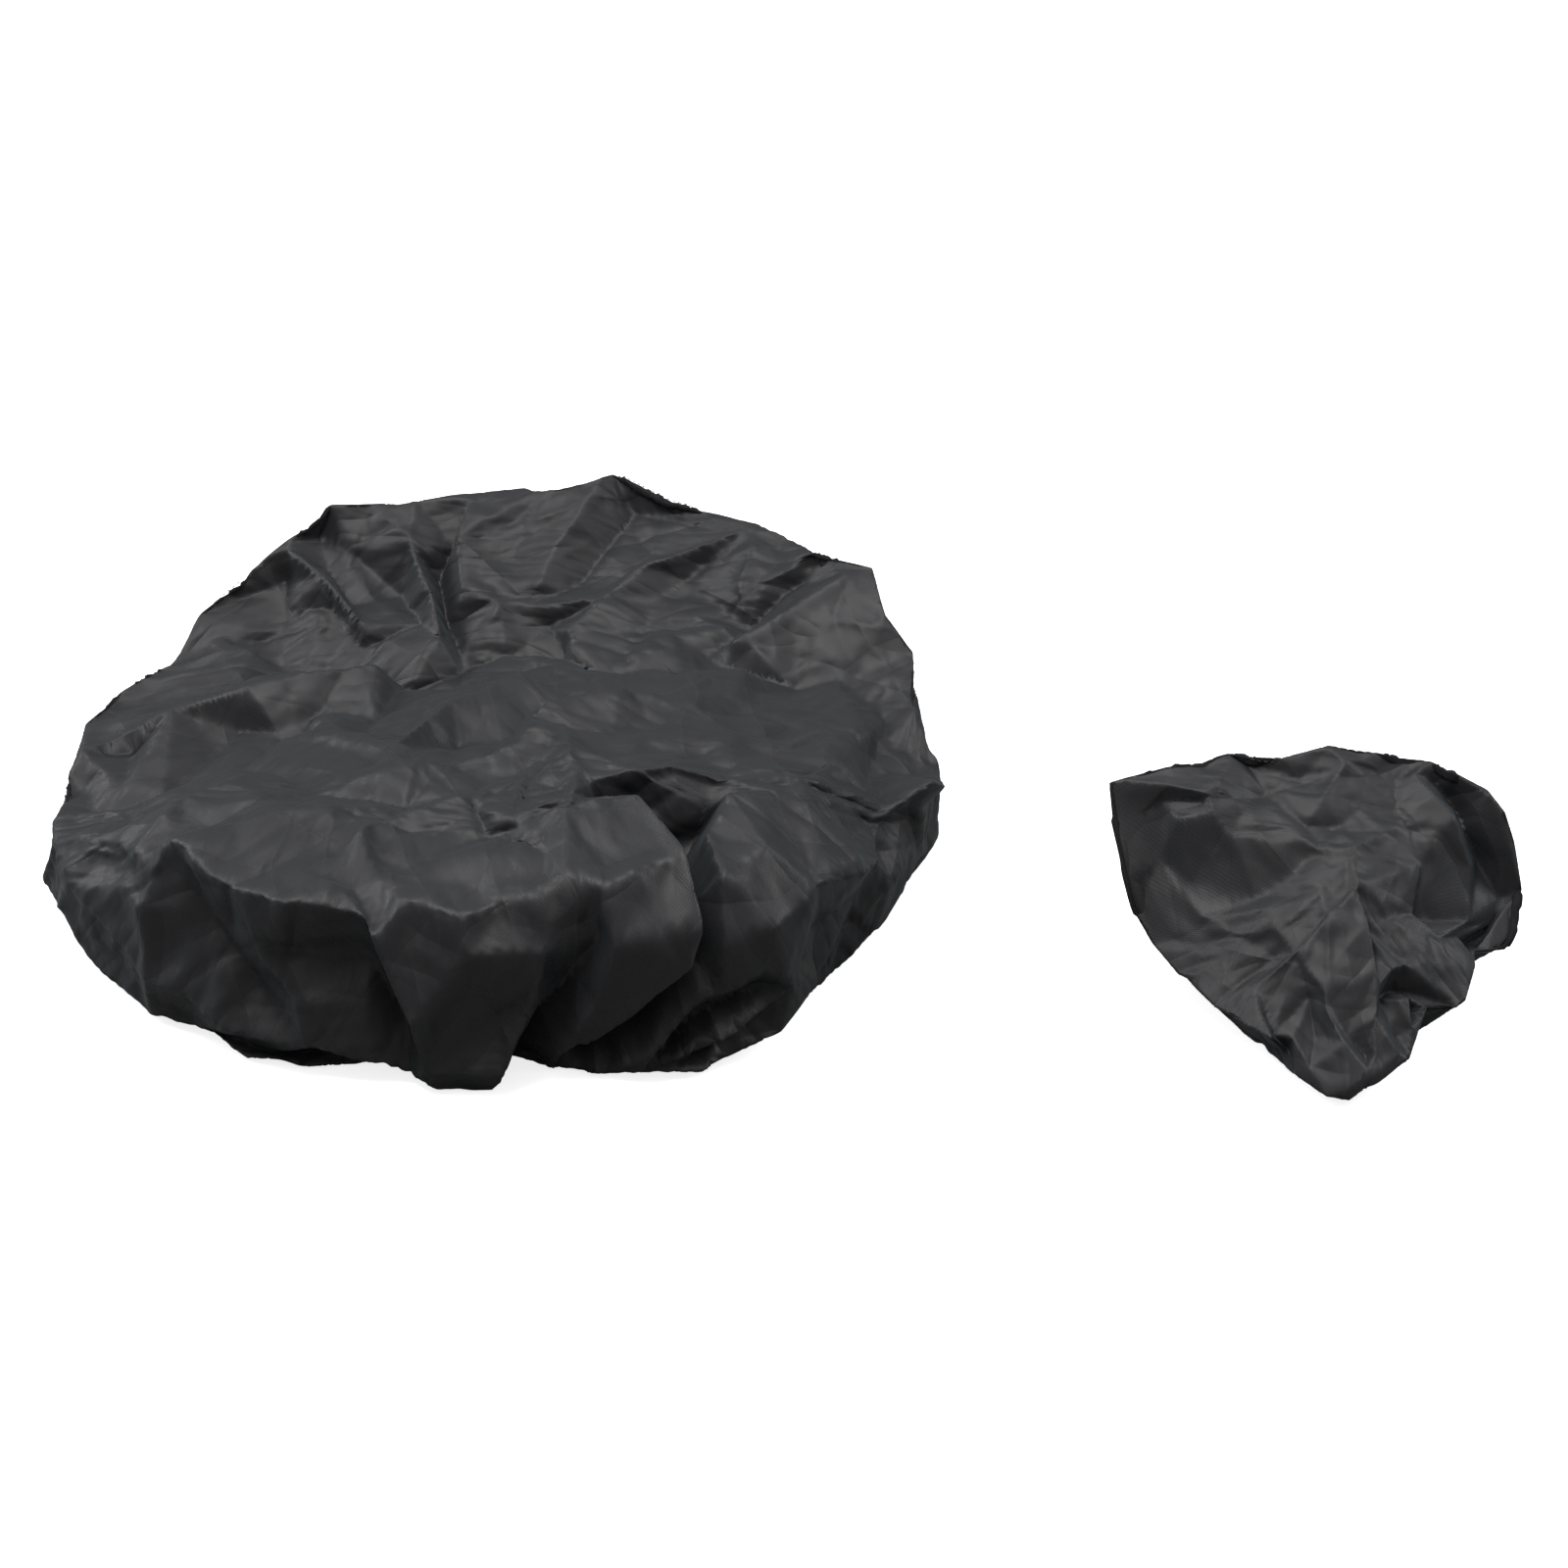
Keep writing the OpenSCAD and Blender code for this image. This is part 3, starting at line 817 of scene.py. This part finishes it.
# ---------------------------------------------------------------- pieces cut from the cloth
class Cloth:
    """The finished cloth of one cover as arrays: its points, normals, faces and places."""

    def __init__(self, cover, mesh):
        self.cover = cover
        self.co, self.normals = coords(mesh), mesh_normals(mesh)
        corners = np.zeros(len(mesh.loops), int)
        mesh.loops.foreach_get("vertex_index", corners)
        self.faces = corners.reshape(-1, 4)
        self.station = stored(mesh, "station")
        self.flat = stored_flat(mesh)
        self.angle = np.mod(np.arctan2(self.flat[:, 1], self.flat[:, 0]), 2 * math.pi)
        self.from_back = np.mod(self.angle - math.pi / 2, 2 * math.pi)
        self.side_seam_gap = np.abs(np.sin(self.from_back / 2)) * 2 * cover.seam_radius

    def where(self, low, high):
        """Faces whose middle lies between two stations."""
        middle = self.station[self.faces].mean(1)
        return (middle > low) & (middle < high)

    def weave(self):
        """Place on the weave in metres: the face is one panel and the side a long strip."""
        on_face = self.station <= SEAM
        u = np.where(on_face, self.flat[:, 0], self.from_back * self.cover.seam_radius)
        v = np.where(on_face, self.flat[:, 1], self.cover.below_seam(self.station))
        return u, v

    def cut(self, name, chosen, depth=0.0, thick=0.0):
        """A new object from the chosen faces, moved into the cloth by a depth."""
        used, index = np.unique(self.faces[chosen], return_inverse=True)
        co = self.co[used] - self.normals[used] * depth
        ob = mesh_object(name, co, index.reshape(-1, 4))
        for kind, pair in (("weave", self.weave()), ("crease", self.flat.T)):
            for letter, values in zip("uv", pair):
                store(ob.data, kind + "_" + letter, values[used].astype(np.float32))
        if thick:
            shell = ob.modifiers.new("thickness", "SOLIDIFY")
            shell.thickness, shell.offset = thick, -1
            bake_modifiers(ob)
        else:
            for face in ob.data.polygons:
                face.use_smooth = True
            ob.data.normals_split_custom_set_from_vertices(self.normals[used].tolist())
        return ob

    def row(self, station, depth):
        """The row of points nearest a station, once round the cover, at a depth in the cloth."""
        value = self.station[np.argmin(np.abs(self.station - station))]
        on = np.where(np.abs(self.station - value) < 1e-5)[0]
        on = on[np.argsort(self.angle[on])]
        return self.co[on] - self.normals[on] * depth

    def side_seam_row(self, depth):
        """Points down the side seam, at a depth in the cloth."""
        near = self.side_seam_gap < 0.0025
        near &= (self.station > SEAM + 0.07) & (self.station < HEM - 0.2)
        on = np.where(near)[0]
        on = on[np.argsort(self.station[on])]
        _, first = np.unique(np.round(self.station[on], 3), return_index=True)
        return self.co[on[first]] - self.normals[on[first]] * depth


def evenly(points, step, closed=True):
    """The same path with points one step apart."""
    if closed:
        points = np.concatenate([points, points[:1]])
    run = np.concatenate([[0], np.cumsum(np.linalg.norm(np.diff(points, axis=0), axis=1))])
    n = max(int(run[-1] / step), 3)
    at = np.linspace(0, run[-1], n + (not closed), endpoint=not closed)
    return np.stack([np.interp(at, run, points[:, k]) for k in range(3)], 1)


def swept(name, paths, wide, high, sides=8, closed=False):
    """Tubes of elliptical section along paths; the wide side lies as level as it can."""
    co, faces = [], []
    turn = np.linspace(0, 2 * math.pi, sides, endpoint=False)
    for path in paths:
        n, start = len(path), len(co)
        ahead = np.roll(path, -1, 0) - np.roll(path, 1, 0)
        if not closed:
            ahead[0], ahead[-1] = path[1] - path[0], path[-1] - path[-2]
        ahead /= np.linalg.norm(ahead, axis=1)[:, None]
        side = np.cross(ahead, (0, 0, 1.0))
        side /= np.maximum(np.linalg.norm(side, axis=1), 1e-6)[:, None]
        up = np.cross(side, ahead)
        for p, s, u in zip(path, side, up):
            co.extend(p + 0.5 * wide * math.cos(t) * s + 0.5 * high * math.sin(t) * u for t in turn)
        for i in range(n if closed else n - 1):
            here, there = start + i * sides, start + (i + 1) % n * sides
            faces.extend((here + k, here + (k + 1) % sides, there + (k + 1) % sides, there + k)
                         for k in range(sides))
        if not closed:
            faces.append(tuple(start + k for k in range(sides)))
            faces.append(tuple(start + (n - 1) * sides + k for k in reversed(range(sides))))
    return mesh_object(name, np.array(co), faces)


def stitches(name, path, closed=True, length=0.0032, gap=0.0012, thread=0.0007):
    """Short lengths of thread along a path, each a little arched."""
    points = evenly(path, (length + gap) / 2, closed)
    ends = [(points[i], points[i + 1]) for i in range(0, len(points) - 1, 2)]
    runs = [np.array([a, (a + b) / 2 + (0, 0, 0.3 * thread), b]) for a, b in ends]
    return swept(name, runs, thread, thread, sides=6)


def hem_pieces(cover, cloth):
    """The tunnel round the opening, its stitching, the elastic in it and the elastic's join."""
    hem = evenly(cloth.row(HEM, 0.0), 0.004)
    out = hem - np.append(cover.middle, 0)
    out[:, 2] = 0
    out /= np.linalg.norm(out, axis=1)[:, None]
    pleat = np.sin(np.arange(len(hem)) * 2 * math.pi / 3.5)[:, None]
    name, high, wide = cover.name, cover.tunnel, 0.0045
    middle = np.array((0, 0, 0.4 * high))
    ring = hem + out * 0.0008 * pleat + middle
    back = np.argsort(np.abs(np.mod(np.arctan2(out[:, 1], out[:, 0]), 2 * math.pi) - math.pi / 2))
    zigzag = evenly(hem[np.sort(back[:6])] + middle, 0.0012, closed=False)
    zigzag[:, 2] += 0.25 * high * np.where(np.arange(len(zigzag)) % 2, 1, -1)
    return {
        "hem_casing": swept(name + "_hem_tunnel", [ring], wide, high, 12, closed=True),
        "hem_thread": stitches(name + "_hem_stitches",
                               ring - out * (0.5 * wide) + np.array((0, 0, 0.30 * high))),
        "hem_elastic": swept(name + "_elastic_loop", [evenly(hem, 0.006) + middle],
                             0.0016, 0.7 * high, 8, closed=True),
        "elastic_join": swept(name + "_elastic_zigzag", [zigzag], 0.0024, 0.0007, 6),
    }


def cut_pieces(cover, ob):
    """Every visible piece of a cover, by the CAD node that it stands for."""
    cloth = Cloth(cover, ob.data)
    bpy.data.objects.remove(ob)
    name = cover.name
    tape = 0.004 / cover.seam_radius
    binding = cloth.where(SEAM - tape, SEAM + 1.5 * tape)
    strip = cloth.where(SEAM + 0.06, HEM - 0.15)
    strip &= cloth.side_seam_gap[cloth.faces].max(1) < 0.007
    return {
        "face_panel": cloth.cut(name + "_face_cloth", cloth.where(0, SEAM)),
        "side_band": cloth.cut(name + "_side_cloth", cloth.where(SEAM, HEM)),
        "face_seam_binding": cloth.cut(name + "_face_binding", binding, TRIM_DEPTH, TRIM_THICK),
        "face_seam_thread": stitches(name + "_face_stitches",
                                     cloth.row(SEAM - 0.5 * tape, THREAD_DEPTH)),
        "side_seam_tape": cloth.cut(name + "_side_tape", strip, TRIM_DEPTH, TRIM_THICK),
        "side_seam_thread": stitches(name + "_side_stitches",
                                     cloth.side_seam_row(THREAD_DEPTH), False),
        **hem_pieces(cover, cloth),
    }


# ---------------------------------------------------------------- materials
class Shader:
    """The nodes of a material or a world under construction."""

    def __init__(self, owner, surface="Principled BSDF"):
        owner.use_nodes = True
        self.mat = owner
        self.nodes, self.links = owner.node_tree.nodes, owner.node_tree.links
        self.surface = self.nodes[surface]

    def put(self, node, key, value):
        if isinstance(value, bpy.types.NodeSocket):
            self.links.new(value, node.inputs[key])
        else:
            node.inputs[key].default_value = value

    def finish(self, key, value):
        self.put(self.surface, key, value)

    def add(self, kind, settings=None, **values):
        node = self.nodes.new("ShaderNode" + kind)
        for key, value in (settings or {}).items():
            setattr(node, key, value)
        for key, value in values.items():
            self.put(node, key.replace("_", " "), value)
        return node

    def math(self, operation, a, b=0.0, clamp=False):
        node = self.add("Math", {"operation": operation, "use_clamp": clamp})
        self.put(node, 0, a)
        self.put(node, 1, b)
        return node.outputs[0]

    def plus(self, base, value, share):
        """A base with a share of a value added."""
        return self.math("ADD", base, self.math("MULTIPLY", value, share))

    def line(self, crest, width):
        """1 along a crest, falling to 0 at a width."""
        return self.math("SUBTRACT", 1.0, self.math("DIVIDE", crest, width, clamp=True))

    def wave(self, value, pitch):
        """A sine that repeats at a pitch in metres."""
        return self.math("SINE", self.math("MULTIPLY", value, 2 * math.pi / pitch))

    def attribute(self, name):
        return self.add("Attribute", {"attribute_name": name}).outputs["Fac"]

    def place(self, u, v):
        node = self.add("CombineXYZ")
        self.put(node, 0, u)
        self.put(node, 1, v)
        return node.outputs[0]

    def noise(self, vector, size, detail=2.0):
        return self.add("TexNoise", Vector=vector, Scale=1 / size, Detail=detail).outputs["Fac"]

    def crests(self, vector, turn, size, stretch):
        """0 along sharp lines that run about one way, and rising on both sides of them."""
        laid = self.add("Mapping", {"vector_type": "TEXTURE"}, Vector=vector,
                        Rotation=(0, 0, turn), Scale=(1, stretch, 1)).outputs[0]
        return self.math("ABSOLUTE", self.math("SUBTRACT", self.noise(laid, size, 1.0), 0.5))

    def bands(self, direction, scale, distortion=0.0):
        """Parallel stripes from 0 to 1."""
        where = self.add("TexCoord").outputs["Object"]
        node = self.add("TexWave", {"bands_direction": direction}, Vector=where, Scale=scale,
                        Distortion=distortion)
        return node.outputs["Fac"]

    def bump(self, height, distance, below=None):
        node = self.add("Bump", Height=height, Distance=distance, Strength=1.0)
        if below is not None:
            self.put(node, "Normal", below)
        return node.outputs[0]

    def tone(self, colour, factor):
        """Sets the colour, made lighter or darker by a factor near 1."""
        node = self.add("VectorMath", {"operation": "SCALE"})
        node.inputs[0].default_value = colour
        self.put(node, "Scale", factor)
        self.finish("Base Color", node.outputs[0])


def new_shader(name, roughness, specular=0.3):
    s = Shader(bpy.data.materials.new(name))
    s.finish("Roughness", roughness)
    s.finish("Specular IOR Level", specular)
    return s


def cloth_material():
    """Plain-woven charcoal polyester with a thin coating, creased from its packet."""
    s = new_shader("charcoal_cloth", 0.55, 0.34)
    u, v = s.attribute("weave_u"), s.attribute("weave_v")
    place = s.place(u, v)
    weave = s.math("MULTIPLY", s.wave(u, 2 * THREAD_PITCH), s.wave(v, 2 * THREAD_PITCH))
    patches = s.math("SUBTRACT", s.noise(place, 0.07, 3.0), 0.5)
    # Pointiness makes the tone lighter on convex edges as wear, and darker in concave hollows as
    # painted shade.
    edge_wear_and_hollow_shade = s.math("SUBTRACT", s.add("NewGeometry").outputs["Pointiness"], 0.5)
    creased = s.place(s.attribute("crease_u"), s.attribute("crease_v"))
    ridges, valleys = s.crests(creased, 0.5, 0.060, 3.5), s.crests(creased, 2.1, 0.045, 4.0)
    tone = s.plus(1.0, weave, 0.06)
    tone = s.plus(tone, patches, 0.5)
    tone = s.plus(tone, edge_wear_and_hollow_shade, 2.5)
    # Painted highlight: the tone is lighter along the bump's crests. Painted shade: the tone is
    # darker along the crease valleys.
    tone = s.plus(tone, s.line(ridges, 0.012), 0.15)
    s.tone(CLOTH_COLOUR, s.plus(tone, s.line(valleys, 0.010), -0.15))
    s.finish("Roughness", s.plus(0.43, s.noise(place, 0.02), 0.16))
    s.finish("Sheen Weight", 0.04)
    s.finish("Sheen Roughness", 0.5)
    s.finish("Sheen Tint", SHEEN_TINT)
    normal = s.bump(ridges, -0.013)
    normal = s.bump(valleys, 0.009, normal)
    normal = s.bump(s.crests(creased, 1.3, 0.024, 5.0), 0.004, normal)
    s.finish("Normal", s.bump(weave, 0.00003, normal))
    return s.mat


def tape_material():
    """Matt binding tape with fine cross ribs."""
    s = new_shader("binding_tape", 0.8, 0.2)
    rib = s.wave(s.math("ADD", s.attribute("weave_u"), s.attribute("weave_v")), 0.0012)
    s.tone((0.013, 0.013, 0.015), s.plus(1.0, rib, 0.12))
    s.finish("Normal", s.bump(rib, 0.00008))
    return s.mat


def thread_material():
    """Twisted polyester thread."""
    s = new_shader("sewing_thread", 0.55)
    twist = s.bands("DIAGONAL", 900.0)
    s.tone((0.032, 0.032, 0.036), s.plus(0.8, twist, 0.4))
    s.finish("Normal", s.bump(twist, 0.00005))
    s.finish("Sheen Weight", 0.2)
    return s.mat


def elastic_material():
    """Braided flat elastic: rows of small ribs."""
    s = new_shader("braided_elastic", 0.7, 0.25)
    ribs = s.bands("Z", 260.0, 2.0)
    s.tone((0.012, 0.012, 0.013), s.plus(0.8, ribs, 0.4))
    s.finish("Normal", s.bump(ribs, 0.0002))
    return s.mat


def pale_floor_material():
    """White to the camera, and darker to the light that it would throw back up."""
    s = new_shader("pale_floor", 0.9, 0.1)
    seen = s.add("LightPath").outputs["Is Camera Ray"]
    mix = s.add("Mix", {"data_type": "RGBA"}, Factor=seen, A=(0.20, 0.20, 0.20, 1),
                B=(0.95, 0.95, 0.95, 1))
    s.finish("Base Color", mix.outputs["Result"])
    s.finish("Emission Color", (1, 1, 1, 1))
    s.finish("Emission Strength", s.math("MULTIPLY", seen, 0.8))
    return s.mat


# ---------------------------------------------------------------- studio
def studio_world():
    """Soft light that comes mostly from above; the camera sees plain white."""
    world = bpy.data.worlds.new("studio")
    bpy.context.scene.world = world
    s = Shader(world, "Background")
    split = s.add("SeparateXYZ", Vector=s.add("TexCoord").outputs["Generated"])
    light = s.add("MapRange", Value=split.outputs["Z"], From_Min=0.1, From_Max=0.95,
                  To_Min=0.05, To_Max=0.60)
    seen = s.add("LightPath").outputs["Is Camera Ray"]
    mix = s.add("Mix", Factor=seen, A=light.outputs["Result"], B=1.0)
    s.finish("Strength", mix.outputs["Result"])
    s.finish("Color", (1, 1, 1, 1))


def area_light(name, place, size, power, aim=(0.2, -0.05, 0)):
    light = bpy.data.lights.new(name, "AREA")
    light.size, light.energy = size, power
    ob = bpy.data.objects.new(name, light)
    bpy.context.scene.collection.objects.link(ob)
    ob.location = place
    ob.rotation_euler = (Vector(aim) - Vector(place)).to_track_quat("-Z", "Y").to_euler()


def soft_studio():
    floor = floor_object("floor", 6)
    floor.data.materials.append(pale_floor_material())
    area_light("top", (0.1, 0.1, 2.3), 1.2, 21)
    area_light("window", (-1.9, 1.0, 1.5), 0.8, 16)
    area_light("front", (-0.3, -0.60, 2.3), 0.9, 24)
    area_light("left", (-2.0, 0.5, 1.2), 0.8, 13)
    area_light("right", (2.2, 0.2, 1.3), 0.8, 17)
    studio_world()


def camera(pitch=30, distance=2.933, aim=(0.1965, 0, 0.0730)):
    data = bpy.data.cameras.new("camera")
    ob = bpy.data.objects.new("camera", data)
    bpy.context.scene.collection.objects.link(ob)
    data.lens, data.sensor_width = 100, 36
    back = Vector((0, -math.cos(math.radians(pitch)), math.sin(math.radians(pitch))))
    ob.location = Vector(aim) + back * distance
    ob.rotation_euler = (-back).to_track_quat("-Z", "Y").to_euler()
    bpy.context.scene.camera = ob


# ---------------------------------------------------------------- the set
LARGE = Cover(
    "large", rim=LARGE_RIM, wall_shape=LARGE_WALL, swell=LARGE_SWELL, creases=LARGE_CREASES,
    bends=LARGE_BENDS, soft_rim=(195, 345), spacing=0.0095, dish=0.095, dish_at=(0.0, 0.113),
    bowl=1.9, gap=0.13, wander=0.013, rounds=4, broad=0.8, fine=1.4, tunnel=0.010, seed=5,
)
SMALL = Cover(
    "small", rim=SMALL_RIM, wall_shape=SMALL_WALL, creases=SMALL_CREASES, spacing=0.0060,
    dish=0.105, dish_at=(0.0, 0.02), bowl=1.15, gap=0.22, wander=0.007, rounds=5, broad=0.20,
    fine=0.6, tunnel=0.008, seed=11,
)
TOP_NODES = ("face_panel", "face_seam_binding", "face_seam_thread")
SLOTS = {
    "cloth": (cloth_material(), ("face_panel", "side_band", "hem_casing")),
    "tape": (tape_material(), ("face_seam_binding", "side_seam_tape")),
    "thread": (thread_material(), ("face_seam_thread", "side_seam_thread", "hem_thread",
                                   "elastic_join")),
    "elastic": (elastic_material(), ("hem_elastic",)),
}


def finish_of(part):
    """Slot and material of a part."""
    return next((name, mat) for name, (mat, parts) in SLOTS.items() if part in parts)


def set_motion(cover, ob, part):
    """Hangs a piece of the large cover on the large top or base body, with a mesh of its own; a
    piece of the small cover has its place baked into its mesh.
    """
    if cover.name == "large":
        on_top = part in TOP_NODES
        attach(ob, "large_top" if on_top else "large_base")
        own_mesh(ob)
    else:
        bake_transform(ob)


for cover in (LARGE, SMALL):
    for part, ob in cut_pieces(cover, make_cover(cover)).items():
        slot_name, material = finish_of(part)
        ob.data.materials.append(material)
        for face in ob.data.polygons:
            face.use_smooth = True
        set_motion(cover, ob, part)
        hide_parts(cover.name + "_" + part)
soft_studio()
camera()
bpy.context.scene.view_settings.view_transform = "Standard"
